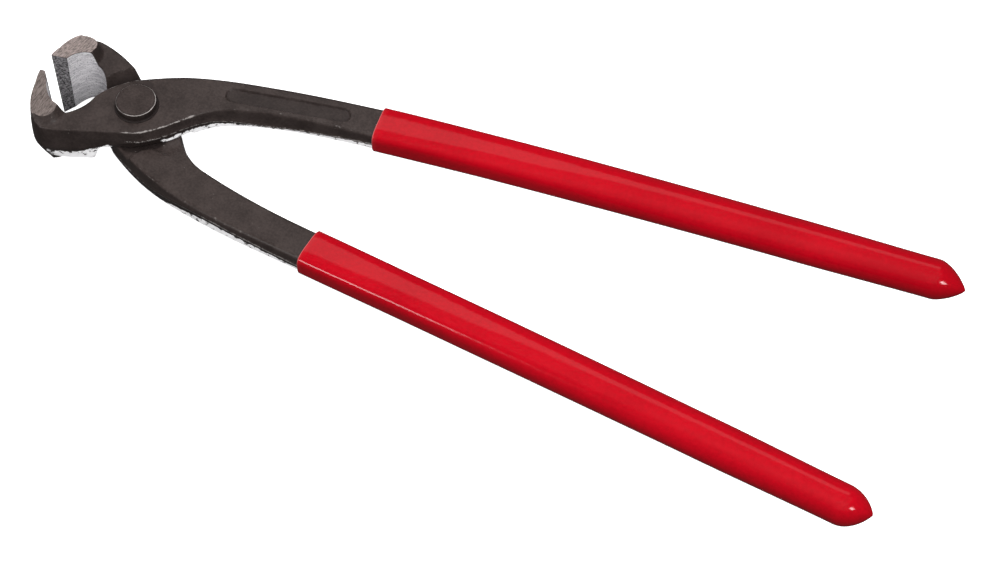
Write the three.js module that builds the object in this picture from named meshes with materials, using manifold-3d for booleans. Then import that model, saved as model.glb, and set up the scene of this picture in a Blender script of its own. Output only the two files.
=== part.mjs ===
// Concreters nippers: two forged levers lapped on one rivet, each with a dipped plastic grip.
// Millimetres. The pivot axis is along Z, the handles run towards +X and the jaws bite at -X.
// Both levers are one forging: the back one is the front one turned over about the X axis.
import * as THREE from "three";
import { mergeVertices } from "three/addons/utils/BufferGeometryUtils.js";
import Module from "manifold-3d";

const wasm = await Module();
wasm.setup();

const degrees = THREE.MathUtils.degToRad;
const mix = THREE.MathUtils.lerp;
const point = (x, y) => new THREE.Vector2(x, y);

// Jaws, measured from the pivot axis and from the plane where the edges meet
const JAW_REACH = 29.7;
const JAW_WIDTH = 26;
const JAW_HEEL = 17.1;
const HEEL_SETBACK = 5.2;
const BEVEL_WIDTH = 4.3;
const BEVEL_ANGLE = degrees(41);
const EDGE_LAND = 0.2;
const GRIND_SLOPE = 0.2;
const MOUTH_HALF = 8.4;
const MOUTH_BACK = 13.4;
const MOUTH_END = degrees(345);
const MEETING_GAP = 0.3;
const FORGED_HALF = 14;

// Lap joint
const PLATE_TOP = 7;
const BOSS_RADIUS = 10.7;
const SHOULDER_DEPTH = 1;
const MATING_GAP = 0.3;
const SEAT_CLEARANCE = 1.2;
const NECK_SEAT_RADIUS = 18;
const NECK_SEAT_START = 2;
const CROTCH_SEAT_RADIUS = 21;
const CROTCH_SEAT_SIDE = 5.5;
const BOSS_START = degrees(-95);
const BOSS_END = degrees(-50);
const BOSS_TOUCH = degrees(118);
const OPENING = degrees(5.54);

// Handle bars
const BAR_WIDTH = 11.6;
const BAR_THICKNESS = 7.2;
const HANDLE_OFFSET = 17.8;
const HANDLE_TOE_IN = 0.4;
const HANDLE_END = 250.4;
const HANDLE_BOW = 1.1;
const BOW_START = 20;
const DRAFT = Math.tan(degrees(6));
const FLASH_BAND = 1.2;
const EDGE_ROUND = 1.5;
const CORNER_SHARE = 0.8;

// Stations along a lever count its stretches: 0 at the cutting edge, 1 where the bevel ends, 2 at the
// heel, 3 behind the mouth, 4 across the pivot, 5 past the crotch and 6 at the grip.
const FLANK_START = 1.4;
const FLANK_END = 2.35;
const LOWER_FLANK_END = 2.9;
const MOUTH_DRAFT_START = 2.5;
const MOUTH_DRAFT_END = 3.5;
const BEVEL_BACK_SHARE = 0.25;
const CROTCH_SHARE = 0.43;

// Curve pulls: how far a side's curve heads on from one end, or comes in to the next, in X and Y
const JAW_LEAVE = point(-1.9, -5.83);
const HEEL_ARRIVE = point(6.63, -1.03);
const HEEL_LEAVE = point(6.2, 0.1);
const NECK_ARRIVE = point(8, 0.7);
const CROTCH_LEAVE = point(5.4, 4.5);
const CROTCH_ARRIVE = point(10.7, 2.4);
const CROTCH_BACK = point(42.5, 4.9);
const INSIDE_LEAVE = point(14, 3.1);
const INSIDE_ARRIVE = point(14, 0.7);
const MOUTH_LEAVE = point(1.1, 4.4);
const BOSS_ARRIVE = 4.5;
const BOSS_LEAVE = 23;
const OUTSIDE_ARRIVE = point(30, 1.3);

// Name panel sunk into the top of a lever, left bare
const PANEL_START = point(22.4, 13.7);
const PANEL_END = point(61.7, 17.8);
const PANEL_WIDTH = 4.4;
const PANEL_DEPTH = 0.4;

// Grips
const GRIP_START = 70.5;
const GRIP_WALL = 0.5;
const GRIP_GAP = 0.2;
const GRIP_END_WIDTH = 12.5;
const GRIP_END_THICKNESS = 11.8;
const GRIP_START_ROUND = 2.6;
const GRIP_NOSE = 7.5;
const GRIP_NIB_RADIUS = 1.1;
const NOSE_ROUNDING = 0.35;
const NOSE_LEAST = 0.08;
const TANG_END_WIDTH = 9;
const TANG_END_GAP = 3;

// Where the grip's nose starts and where the tang ends inside it
const NOSE_START = HANDLE_END - GRIP_NOSE;
const TANG_END = NOSE_START - TANG_END_GAP;

// Rivet
const SHANK_RADIUS = 4.5;
const SHANK_CLEARANCE = 0.1;
const HEAD_RADIUS = 5.9;
const HEAD_HEIGHT = 2.5;
const HEAD_CLEARANCE = 0.1;
const HEAD_CHAMFER = 0.4;
const COLLAR_WIDTH = 0.7;
const COLLAR_HEIGHT = 0.5;

// Facets: steps along each stretch of a lever, round a quarter corner and round a turned piece
const STRETCH_STEPS = 8;
const TANG_STEPS = 10;
const NOSE_STEPS = 5;
const LEVER_CORNER_STEPS = 2;
const GRIP_CORNER_STEPS = 4;
const TURNED_STEPS = 64;

const steel = new THREE.MeshStandardMaterial({ color: 0x3b3533, roughness: 0.5, metalness: 0.8 });
const rivetSteel = new THREE.MeshStandardMaterial({ color: 0x453c3a, roughness: 0.4, metalness: 0.8 });
const redPlastic = new THREE.MeshStandardMaterial({ color: 0xc3091c, roughness: 0.25, metalness: 0 });

// A closed skin over rings of equal count, with a fan over the first and the last ring.
function loft(rings) {
  const count = rings[0].length;
  const vertices = rings.flat();
  const indices = [];
  for (let row = 0; row + 1 < rings.length; row++) {
    for (let i = 0; i < count; i++) {
      const next = (i + 1) % count;
      const low = row * count;
      const high = low + count;
      indices.push(low + i, low + next, high + next, low + i, high + next, high + i);
    }
  }
  const addFan = (ring, start, reversed) => {
    const middle = ring.reduce((sum, v) => sum.add(v), new THREE.Vector3()).divideScalar(count);
    const hub = vertices.push(middle) - 1;
    for (let i = 0; i < count; i++) {
      const next = (i + 1) % count;
      indices.push(hub, start + (reversed ? next : i), start + (reversed ? i : next));
    }
  };
  addFan(rings[0], 0, true);
  addFan(rings.at(-1), (rings.length - 1) * count, false);
  return new THREE.BufferGeometry().setFromPoints(vertices).setIndex(indices);
}

// A geometry's solid, for joins and cuts.
function solid(geometry) {
  const bare = geometry.clone();
  bare.deleteAttribute("normal");
  bare.deleteAttribute("uv");
  const merged = mergeVertices(bare, 1e-4);
  return new wasm.Manifold(
    new wasm.Mesh({
      numProp: 3,
      vertProperties: new Float32Array(merged.attributes.position.array),
      triVerts: new Uint32Array(merged.index.array),
    }),
  );
}

function geometryOf(made) {
  const mesh = made.getMesh();
  const geometry = new THREE.BufferGeometry();
  geometry.setAttribute("position", new THREE.BufferAttribute(mesh.vertProperties, 3));
  geometry.setIndex(new THREE.BufferAttribute(mesh.triVerts, 1));
  geometry.computeVertexNormals();
  return geometry;
}

// A round bar along Z between two heights.
function roundBar(radius, bottom, top) {
  const bar = new THREE.CylinderGeometry(radius, radius, top - bottom, TURNED_STEPS);
  return bar.rotateX(Math.PI / 2).translate(0, 0, (bottom + top) / 2);
}

// How far a handle bows sideways at a place along X: nothing at the joint and at the grip's nose.
function bowAt(x, bow) {
  const share = THREE.MathUtils.clamp((x - BOW_START) / (NOSE_START - BOW_START), 0, 1);
  return bow * 4 * share * (1 - share);
}

// The handle's middle line, which leans inwards a little from the grip's start to its end.
function handleLine(x, bow) {
  const share = (x - GRIP_START) / (HANDLE_END - GRIP_START);
  return HANDLE_OFFSET - HANDLE_TOE_IN * share + bowAt(x, bow);
}

const along = (curve, from, to) => (t) => curve.getPoint(mix(from, to, t));
const onBoss = (angle) => point(BOSS_RADIUS * Math.cos(angle), BOSS_RADIUS * Math.sin(angle));

// The mouth side of a lever at the mid plane: bevel, oval mouth, boss and outside of the handle.
function mouthEdge() {
  const tip = point(-JAW_REACH, -MEETING_GAP / 2);
  const bevelReach = BEVEL_WIDTH * Math.cos(BEVEL_ANGLE);
  const bevelDrop = MEETING_GAP / 2 + BEVEL_WIDTH * Math.sin(BEVEL_ANGLE);
  const bevelEnd = point(tip.x + bevelReach, -bevelDrop);
  const lean = Math.sqrt(1 - (bevelDrop / MOUTH_HALF) ** 2);
  const ovalHalf = (-bevelEnd.x - MOUTH_BACK) / (1 + lean);
  const ovalMiddle = -MOUTH_BACK - ovalHalf;
  const ovalStart = Math.PI + Math.asin(bevelDrop / MOUTH_HALF);
  const ovalBottom = 1.5 * Math.PI;
  const oval = (from, to) => new THREE.EllipseCurve(ovalMiddle, 0, ovalHalf, MOUTH_HALF, from, to);
  const backEnd = oval(ovalBottom, MOUTH_END).getPoint(1);
  const touch = onBoss(BOSS_TOUCH);
  const touchWay = point(Math.sin(BOSS_TOUCH), -Math.cos(BOSS_TOUCH));
  const gripCorner = point(GRIP_START, HANDLE_OFFSET + BAR_WIDTH / 2);
  const overBoss = new THREE.CubicBezierCurve(
    backEnd,
    backEnd.clone().add(MOUTH_LEAVE),
    touch.clone().addScaledVector(touchWay, -BOSS_ARRIVE),
    touch,
  );
  const outside = new THREE.CubicBezierCurve(
    touch,
    touch.clone().addScaledVector(touchWay, BOSS_LEAVE),
    gripCorner.clone().sub(OUTSIDE_ARRIVE),
    gripCorner,
  );
  return [
    along(new THREE.LineCurve(tip, bevelEnd), 0, 1),
    along(oval(ovalStart, ovalBottom), 0, 1),
    along(oval(ovalBottom, MOUTH_END), 0, 1),
    along(overBoss, 0, 1),
    along(outside, 0, CROTCH_SHARE),
    along(outside, CROTCH_SHARE, 1),
  ];
}

// The other side at the mid plane: back of the jaw, neck, round boss, crotch and inside of the handle.
function outerEdge() {
  const tip = point(-JAW_REACH - EDGE_LAND / 2, -MEETING_GAP / 2);
  const heel = point(-JAW_REACH + HEEL_SETBACK, -JAW_HEEL);
  const neckEnd = onBoss(BOSS_START);
  const crotchStart = onBoss(BOSS_END);
  const gripCorner = point(GRIP_START, HANDLE_OFFSET - BAR_WIDTH / 2);
  const crotchEnd = gripCorner.clone().sub(CROTCH_BACK);
  const curve = (from, leave, arrive, to) =>
    new THREE.CubicBezierCurve(from, from.clone().add(leave), to.clone().sub(arrive), to);
  const jawBack = curve(tip, JAW_LEAVE, HEEL_ARRIVE, heel);
  const boss = new THREE.EllipseCurve(0, 0, BOSS_RADIUS, BOSS_RADIUS, BOSS_START, BOSS_END);
  return [
    along(jawBack, 0, BEVEL_BACK_SHARE),
    along(jawBack, BEVEL_BACK_SHARE, 1),
    along(curve(heel, HEEL_LEAVE, NECK_ARRIVE, neckEnd), 0, 1),
    along(boss, 0, 1),
    along(curve(crotchStart, CROTCH_LEAVE, CROTCH_ARRIVE, crotchEnd), 0, 1),
    along(curve(crotchEnd, INSIDE_LEAVE, INSIDE_ARRIVE, gripCorner), 0, 1),
  ];
}

// Heights of a forging's top and bottom at a station (0 at the tip, 2 at the heel, 4 across the pivot).
// The jaw stands tall, falls to the plate in a hollow flank, and the bar runs on to the grip centred.
function flank(station, end, foot) {
  const rise = THREE.MathUtils.clamp((end - station) / (end - FLANK_START), 0, 1);
  return foot + (FORGED_HALF - foot) * rise ** 2;
}

function alongBar(x) {
  return THREE.MathUtils.clamp((x - BOSS_RADIUS) / (GRIP_START - BOSS_RADIUS), 0, 1);
}

function topHeight(station, x) {
  return flank(station, FLANK_END, mix(PLATE_TOP, BAR_THICKNESS / 2, alongBar(x)));
}

function bottomHeight(station, x) {
  return -flank(station, LOWER_FLANK_END, mix(SHOULDER_DEPTH, BAR_THICKNESS / 2, alongBar(x)));
}

// One lever section between a point on each side: drafted walls either side of the flash band, with
// rounded corners.
function leverRing({ mouth, outer, top, bottom, round, mouthDraft, outerDraft, bow }) {
  const across = outer.clone().sub(mouth);
  const width = across.length();
  across.normalize();
  const place = (inset, z, fromMouth) => {
    const draft = (fromMouth ? mouthDraft : outerDraft) * Math.max(0, Math.abs(z) - FLASH_BAND / 2);
    const depth = Math.min(inset + draft, width / 2);
    const at = fromMouth
      ? mouth.clone().addScaledVector(across, depth)
      : outer.clone().addScaledVector(across, -depth);
    return new THREE.Vector3(at.x, at.y + bowAt(at.x, bow), z);
  };
  const ring = [];
  const corner = (z, fromMouth, rising) => {
    const height = Math.min(round, CORNER_SHARE * (Math.abs(z) - FLASH_BAND / 2));
    for (let i = 0; i <= LEVER_CORNER_STEPS; i++) {
      const turn = ((rising ? i : LEVER_CORNER_STEPS - i) / LEVER_CORNER_STEPS) * (Math.PI / 2);
      const inset = round * (1 - Math.cos(turn));
      ring.push(place(inset, z - Math.sign(z) * height * (1 - Math.sin(turn)), fromMouth));
    }
  };
  corner(bottom, true, false);
  ring.push(place(0, -FLASH_BAND / 2, true), place(0, FLASH_BAND / 2, true));
  corner(top, true, true);
  corner(top, false, false);
  ring.push(place(0, FLASH_BAND / 2, false), place(0, -FLASH_BAND / 2, false));
  corner(bottom, false, true);
  return ring;
}

function forgedRing(station, mouth, outer, bow) {
  const x = (mouth.x + outer.x) / 2;
  return leverRing({
    mouth,
    outer,
    top: topHeight(station, x),
    bottom: bottomHeight(station, x),
    round: Math.min(EDGE_ROUND, mouth.distanceTo(outer) / 4),
    mouthDraft: DRAFT * THREE.MathUtils.smoothstep(station, MOUTH_DRAFT_START, MOUTH_DRAFT_END),
    outerDraft: DRAFT * THREE.MathUtils.smoothstep(station, 0, 1),
    bow,
  });
}

// Half width, half thickness and corner round of the tang inside a grip, which narrows along X.
function tangSize(x) {
  const share = (x - GRIP_START) / (TANG_END - GRIP_START);
  return {
    halfWidth: mix(BAR_WIDTH, TANG_END_WIDTH, share) / 2,
    halfThickness: BAR_THICKNESS / 2,
    round: EDGE_ROUND,
  };
}

// The same of a grip's outside, which thickens from a flat bar to nearly round.
function gripSize(x) {
  const share = THREE.MathUtils.clamp((x - GRIP_START) / (NOSE_START - GRIP_START), 0, 1);
  const skin = GRIP_WALL + GRIP_GAP;
  const bulge = Math.sin((share * Math.PI) / 2);
  const halfThickness = mix(BAR_THICKNESS / 2 + skin, GRIP_END_THICKNESS / 2, bulge);
  return {
    halfWidth: mix(BAR_WIDTH / 2 + skin, GRIP_END_WIDTH / 2, share),
    halfThickness,
    round: mix(GRIP_START_ROUND, halfThickness, share * (2 - share)),
  };
}

function tangRing(x, bow) {
  const size = tangSize(x);
  const line = handleLine(x, 0);
  return leverRing({
    mouth: point(x, line + size.halfWidth),
    outer: point(x, line - size.halfWidth),
    top: size.halfThickness,
    bottom: -size.halfThickness,
    round: size.round,
    mouthDraft: 0,
    outerDraft: 0,
    bow,
  });
}

// A rounded rectangle across the handle at X, grown by a margin and then scaled.
function handleRing(x, bow, size, margin, scale) {
  const halfWidth = (size.halfWidth + margin) * scale;
  const halfThickness = (size.halfThickness + margin) * scale;
  const round = Math.min((size.round + margin) * scale, halfThickness, halfWidth);
  const middle = handleLine(x, bow);
  const ring = [];
  const quarters = [[1, -1], [1, 1], [-1, 1], [-1, -1]];
  quarters.forEach(([side, level], quarter) => {
    for (let i = 0; i <= GRIP_CORNER_STEPS; i++) {
      const turn = (quarter - 1 + i / GRIP_CORNER_STEPS) * (Math.PI / 2);
      const y = side * (halfWidth - round) + round * Math.cos(turn);
      const z = level * (halfThickness - round) + round * Math.sin(turn);
      ring.push(new THREE.Vector3(x, middle + y, z));
    }
  });
  return ring;
}

// The rings of a grip's blunt nose, from its shoulder to a small nib at the end.
function noseRings(bow) {
  const size = gripSize(NOSE_START);
  const nib = GRIP_NIB_RADIUS / size.halfThickness;
  const rings = [];
  for (let i = 1; i <= NOSE_STEPS; i++) {
    const share = i / NOSE_STEPS;
    const rounded = Math.sqrt(1 - share ** 2);
    const coned = mix(1, nib, share);
    const scale = Math.max(mix(coned, rounded, NOSE_ROUNDING), NOSE_LEAST);
    rings.push(handleRing(mix(NOSE_START, HANDLE_END, share), bow, size, 0, scale));
  }
  return rings;
}

// A lever before it is ground and bored: the forged body from the cutting edge to the grip's start,
// and the tang that runs on inside the grip.
function blank(bow) {
  const mouth = mouthEdge();
  const outer = outerEdge();
  const rings = [];
  mouth.forEach((stretch, index) => {
    for (let i = 0; i < STRETCH_STEPS; i++) {
      const t = i / STRETCH_STEPS;
      rings.push(forgedRing(index + t, stretch(t), outer[index](t), bow));
    }
  });
  for (let i = 0; i <= TANG_STEPS; i++) {
    rings.push(tangRing(mix(GRIP_START, TANG_END, i / TANG_STEPS), bow));
  }
  return loft(rings);
}

// A thick slab over a jaw's ground side, sloping down away from the meeting plane.
function grindingSlab() {
  const slope = Math.atan(GRIND_SLOPE);
  const size = 2 * (JAW_REACH + JAW_HEEL);
  const slab = new THREE.BoxGeometry(size, size, size);
  slab.translate(0, 0, size / 2);
  return slab.rotateX(slope).translate(0, 0, JAW_WIDTH / 2);
}

// The hollow that lets the other lever lie in the mid plane: round at the shoulder, wider at the neck
// and at the crotch.
function seat() {
  const floor = MATING_GAP / 2;
  const disc = (radius) => solid(roundBar(radius, floor - JAW_WIDTH, floor));
  const span = 2 * (NECK_SEAT_RADIUS + CROTCH_SEAT_RADIUS);
  const block = (x, y) => solid(new THREE.BoxGeometry(span, span, span).translate(x, y, 0));
  const neck = disc(NECK_SEAT_RADIUS).intersect(block(NECK_SEAT_START - span / 2, 0));
  const crotch = disc(CROTCH_SEAT_RADIUS)
    .intersect(block(span / 2, 0))
    .intersect(block(0, CROTCH_SEAT_SIDE - span / 2));
  return disc(BOSS_RADIUS + SEAT_CLEARANCE).add(neck).add(crotch);
}

// The panel's cutter: a slot with round ends, lying in the sloping top of the bar.
function panel(bow) {
  const start = point(PANEL_START.x, PANEL_START.y + bowAt(PANEL_START.x, bow));
  const end = point(PANEL_END.x, PANEL_END.y + bowAt(PANEL_END.x, bow));
  const length = start.distanceTo(end);
  const half = PANEL_WIDTH / 2;
  const slot = new THREE.Shape();
  slot.absarc(half, 0, half, Math.PI / 2, 1.5 * Math.PI);
  slot.absarc(length - half, 0, half, -Math.PI / 2, Math.PI / 2);
  const cutter = new THREE.ExtrudeGeometry(slot, { depth: PLATE_TOP, bevelEnabled: false });
  const startHeight = topHeight(FLANK_END, start.x);
  const drop = topHeight(FLANK_END, end.x) - startHeight;
  cutter.translate(0, 0, -PANEL_DEPTH);
  cutter.rotateY(-Math.atan2(drop, length));
  cutter.rotateZ(Math.atan2(end.y - start.y, end.x - start.x));
  return cutter.translate(start.x, start.y, startHeight);
}

function lever(bow) {
  const grindTop = solid(grindingSlab());
  const grindBottom = solid(grindingSlab().rotateY(Math.PI));
  const bore = roundBar(SHANK_RADIUS + SHANK_CLEARANCE, -JAW_WIDTH, JAW_WIDTH);
  const made = solid(blank(bow))
    .subtract(grindTop)
    .subtract(grindBottom)
    .subtract(seat())
    .subtract(solid(bore))
    .subtract(solid(panel(bow)));
  return geometryOf(made);
}

// A blind sleeve: its inside from the closed end to the rim, then its outside back to the nose.
function grip(bow) {
  const inner = [];
  const outer = [];
  for (let i = 0; i <= TANG_STEPS; i++) {
    const share = i / TANG_STEPS;
    const inX = mix(TANG_END + GRIP_GAP, GRIP_START, share);
    const outX = mix(GRIP_START, NOSE_START, share);
    inner.push(handleRing(inX, bow, tangSize(inX), GRIP_GAP, 1));
    outer.push(handleRing(outX, bow, gripSize(outX), 0, 1));
  }
  return loft([...inner, ...outer, ...noseRings(bow)]);
}

// The rivet: a plain shank with a flat head and a low collar at each end.
function rivet() {
  const under = PLATE_TOP + HEAD_CLEARANCE;
  const top = PLATE_TOP + HEAD_HEIGHT;
  const half = [
    point(SHANK_RADIUS, under),
    point(HEAD_RADIUS + COLLAR_WIDTH, under),
    point(HEAD_RADIUS + COLLAR_WIDTH, under + COLLAR_HEIGHT / 2),
    point(HEAD_RADIUS, under + COLLAR_HEIGHT),
    point(HEAD_RADIUS, top - HEAD_CHAMFER),
    point(HEAD_RADIUS - HEAD_CHAMFER, top),
    point(0, top),
  ];
  const mirrored = half.map((p) => point(p.x, -p.y)).reverse();
  return new THREE.LatheGeometry([...mirrored, ...half], TURNED_STEPS).rotateX(Math.PI / 2);
}

function named(name, geometry, material) {
  const mesh = new THREE.Mesh(geometry, material);
  mesh.name = name;
  return mesh;
}

const front = new THREE.Group();
front.add(named("front_lever", lever(HANDLE_BOW), steel));
front.add(named("front_grip", grip(HANDLE_BOW), redPlastic));
front.rotation.z = OPENING;

const back = new THREE.Group();
back.add(named("back_lever", lever(-HANDLE_BOW), steel));
back.add(named("back_grip", grip(-HANDLE_BOW), redPlastic));
back.rotation.set(Math.PI, 0, OPENING);

const tool = new THREE.Group();
tool.add(front, back, named("pivot_rivet", rivet(), rivetSteel));

// The tool stands on the lower ends of its jaws, with the origin under the middle of its box.
const nippers = new THREE.Group();
nippers.add(tool);
const box = new THREE.Box3().setFromObject(tool, true);
const middle = box.getCenter(new THREE.Vector3());
tool.position.set(-middle.x, -middle.y, -box.min.z);

export default nippers;
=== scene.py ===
import math
from types import SimpleNamespace

import bmesh
import bpy
import numpy as np
from mathutils import Matrix, Vector


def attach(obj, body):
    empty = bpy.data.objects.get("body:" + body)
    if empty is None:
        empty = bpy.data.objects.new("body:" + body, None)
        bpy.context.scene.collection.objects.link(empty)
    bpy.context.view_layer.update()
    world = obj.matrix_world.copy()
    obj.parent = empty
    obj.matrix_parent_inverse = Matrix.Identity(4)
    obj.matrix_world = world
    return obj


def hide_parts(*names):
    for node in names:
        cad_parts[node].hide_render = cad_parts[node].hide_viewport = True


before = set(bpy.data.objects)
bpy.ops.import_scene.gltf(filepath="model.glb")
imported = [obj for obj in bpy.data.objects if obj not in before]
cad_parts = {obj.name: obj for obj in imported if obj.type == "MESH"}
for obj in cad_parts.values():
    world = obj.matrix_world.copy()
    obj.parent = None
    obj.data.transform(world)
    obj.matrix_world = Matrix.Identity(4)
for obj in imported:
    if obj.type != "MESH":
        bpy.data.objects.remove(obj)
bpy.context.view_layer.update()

# Lengths are millimetres in the tool's own frame: the rivet's axis is z, the levers meet at z = 0,
# the jaws point to -x and the handles to +x. A closed lever has its jaw on -y and its handle on +y.
MM = 0.001
PIVOT = np.array([-108.771, 0.0, 12.970])
OPENING = math.radians(5.54)

# Plan points and curve pulls of a lever. A value given again for one lever holds for that lever.
LEVER = dict(
    jaw_reach=30.1, jaw_heel=17.1, heel_setback=5.2, edge_gap=0.3, edge_land=0.2, bevel_share=0.25,
    top_lowest_pull=(3.8, 0.0), under_bevel_end=(-25.6, -1.7), under_bevel_pull=(0.3, -3.5),
    under_lowest=(-20.2, -8.1), under_lowest_pull=(3.0, -0.05), lowest_leave=(3.2, 0.0),
    mouth_back=(-13.3, -0.7), mouth_back_pull=(1.2, 3.5), mouth_leave=(1.0, 2.9), boss_arrive=3.9,
    boss_radius=10.7, boss_start=math.radians(-76), boss_end=math.radians(-50),
    jaw_leave=(-1.7, -5.8), heel_arrive=(6.6, -1.0), heel_leave=(6.2, 0.1), neck_arrive=(8.0, 2.05),
    crotch_share=0.43, bar_half=3.6, grip_start=70.5,
)
# Each lever's trim band and fade place its trimmed wall, which is painted near white as a reflection of the
# floor.
FRONT = SimpleNamespace(**dict(
    LEVER, jaw_reach=29.7, heel_setback=5.4, edge_land=1.5, heel_cut=0.28,
    top_bevel_end=(-27.5, -2.75), top_bevel_pull=(0.75, -2.9), top_lowest=(-20.4, -9.1),
    under_bevel_end=(-27.5, -2.75), under_bevel_pull=(0.75, -2.9), under_lowest=(-20.4, -9.1),
    under_lowest_pull=(3.8, 0.0), lowest_leave=(2.3, 0.25), mouth_back=(-13.9, -0.2),
    touch=(-3.6, 9.8), touch_way=(0.9, 0.436), outside_leave=24.0, outside_arrive=(30.0, 2.55),
    bar_outside=(70.5, 25.25), bar_inside=(70.5, 14.0), crotch_end=(28.0, 8.0), crotch_leave=(6.5, 3.6),
    crotch_arrive=(10.6, 3.2), inside_leave=(13.0, 4.2), inside_arrive=(14.0, 0.9),
    handle_start=(70.5, 19.65), handle_leave=(57.0, 1.35), handle_arrive=(57.0, -1.4),
    handle_end=(243.0, 17.8), nose_power=1.5, trim_band=(-2.5, -0.4), trim_fade=(-27.0, -21.0),
))
BACK = SimpleNamespace(**dict(
    LEVER, heel_leave=(6.9, -0.3), neck_arrive=(8.0, 2.7), heel_cut=0.0,
    top_bevel_end=(-27.9, -3.1), top_bevel_pull=(1.0, -2.6), top_lowest=(-20.6, -9.5),
    top_lowest_pull=(4.2, 0.0),
    touch=(-4.0, 10.1), touch_way=(0.885, 0.435), outside_leave=22.0, outside_arrive=(38.0, 0.45),
    bar_outside=(70.5, 21.7), bar_inside=(70.5, 10.45), crotch_end=(28.0, 6.65), crotch_leave=(6.7, 4.9),
    crotch_arrive=(10.5, 1.75), inside_leave=(14.0, 2.8), inside_arrive=(14.0, 0.15),
    handle_start=(70.5, 15.95), handle_leave=(57.0, -0.15), handle_arrive=(57.0, 0.83),
    handle_end=(243.0, 16.93), nose_power=2.0, trim_band=(-3.4, -2.0), trim_fade=(8.0, 25.0),
))

# Heights of the forging
PLATE_TOP = 8.0
MATING_FACE = 0.15
SHOULDER = 0.8
NECK_DEPTH = 6.0
NECK_LINE = -8.0
NECK_SIDE = 6.0
JAW_HALF = 13.9
GRIND_SLOPE = 0.26
FLANK_CENTRE = (-25.3, -10.2)
FLANK_RADIUS = 3.8
FLANK_OUTWARD = 0.88
TOP_FLANK = 1.8
UNDER_FLANK = 1.2
FLANK_TOE = 0.12
INNER_RISE = 0.8
INNER_LIMIT = 0.6
BOSS_SEAT = 10.9
NECK_SEAT = 14.6
NECK_RIM = 16.4
CROTCH_SEAT = 16.5
CROTCH_SEAT_SIDE = 6.8
OUTSIDE_SEAT = 4.2
OUTSIDE_SEAT_END = (4.0, 7.0)
SEAT_EDGE = 0.35
BAR_BEGIN = 10.0

# Walls and edges. Pairs of stations tell between which stretches of the lever an effect comes or goes.
DRAFT = math.tan(math.radians(7))
LEAST_HALF = 0.48
JAW_CROWN = 1.3
HEEL_CROWN = 2.2
CROWN_COMES = (0.0, 1.5)
HEEL_CROWN_COMES = (1.2, 2.0)
JAW_GOES = (1.7, 2.7)
GRINDING_GOES = (2.2, 2.9)
HEEL_CUT_COMES = (1.25, 1.9)
HEEL_CUT_BELOW = 1.0
BOSS_UNDERCUT = 1.1
UNDERCUT_COMES = (2.3, 2.9)
UNDERCUT_GOES = (4.0, 4.3)
EDGE_ROUND = 1.4
BOSS_ROUND = 0.7
ROUND_GROWS = (5.0, 40.0)
FLASH_HALF = 0.5
FLASH_PROUD = 0.22
FLASH_AT_BOSS = 4.0
FLASH_NECK = (-16.0, -2.0)
FLASH_BAR = (10.0, 40.0)
SHARP_ANGLE = math.radians(33)
WELD = 1e-7
CUT_SNAP = 1e-8

# Marks on the levers that the finish reads
FLASH_LINE = 0.45
FLASH_FADE = (-10.0, 6.0)
# The trimmed wall: bare metal, painted near white and glowing as a painted reflection of the floor.
TRIM_REFLECTION_BOSS_START = (-5.0, -3.0)
TRIM_REFLECTION_BOSS_END = (8.0, 10.0)
TRIM_REFLECTION_RISE = 1.3
RUB_OUTER = (-4.0, 20.0)
RUB_MOUTH = (-14.0, 2.0)
RUB_FADE = 4.0
# Painted shade on the seats where the other lever lies, and in the front lever's recess.
SEAT_DARK = (-2.5, -0.6)
SEAT_ARC = (11.2, 11.9)
# Painted highlight: a bright line along the back lever's seat arc.
ARC_HALF = 0.22
ARC_COMES = (3.0, 6.0)
ARC_GOES = (11.0, 15.0)
ARC_STRENGTH = 0.8
RECESS_SHADE = 0.5

# Where the ground mouth ends: its last station at mid height, and how far it draws back up the jaw
MOUTH_END = 2.72
MOUTH_DRAWN_BACK = 0.55
MOUTH_DRAWN_HEIGHTS = (5.0, 13.0)

# Recess in the front lever's bar
RECESS_START = (25.9, 13.6)
RECESS_END = (58.6, 18.3)
RECESS_HALF = 2.6
RECESS_DEPTH = 0.8
RECESS_EDGE = 0.3

# Grips: half widths, half depths and squareness along x
GRIP_HALF_WIDTHS = ((70.5, 6.64), (110.0, 6.59), (150.0, 6.72), (195.0, 6.62), (243.0, 6.05))
GRIP_HALF_DEPTHS = ((70.5, 4.5), (110.0, 4.95), (150.0, 5.6), (195.0, 5.8), (243.0, 5.8))
GRIP_SQUARENESS = ((70.5, 3.6), (110.0, 2.9), (150.0, 2.2), (243.0, 2.0))
GRIP_RIM = 0.45
GRIP_LAP = 0.9
# Span of the painted highlight at the grip's rim.
RIM_HIGHLIGHT_SPAN = (0.1, 0.5)
NOSE_START = 241.5
NOSE_LENGTH = 9.0
NOSE_FULLNESS = 0.8
NOSE_DROOP = 1.1
CAVITY_END = 236.0
TANG_END = 234.0
TANG_TAPER = 0.3
GRIP_SHARP_ANGLE = math.radians(50)

# Rivet
HEAD_RADIUS = 6.05
HEAD_HEIGHT = 3.05
HEAD_CHAMFER = 0.45
HEAD_BAND = 0.5
HEAD_DOME = 0.03
CHAMFER_LEAN = 0.05
CHAMFER_FOOT = 0.1
COLLAR_RADIUS = 6.7
COLLAR_HEIGHT = 0.45
COLLAR_BEVEL = (0.2, 0.15)
COLLAR_LIFT = 0.02
SHANK_RADIUS = 4.5
AXIS_RADIUS = 0.01
RIVET_SHARP_ANGLE = math.radians(25)

# Grid counts
STRETCH_STEPS = (16, 56, 48, 36, 64, 130)
TANG_STEPS = 12
CORNER_STEPS = 6
WALL_STEPS = 14
FACE_STEPS = 44
TURNS = 96
NOSE_STEPS = 30
SKIN_STEPS = 120
RIM_STEPS = 12
CAVITY_STEPS = 24
HANDLE_STEPS = 400

# Order of a lever's materials
FORGED, GROUND, MOUTH, BEVEL = range(4)

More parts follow.
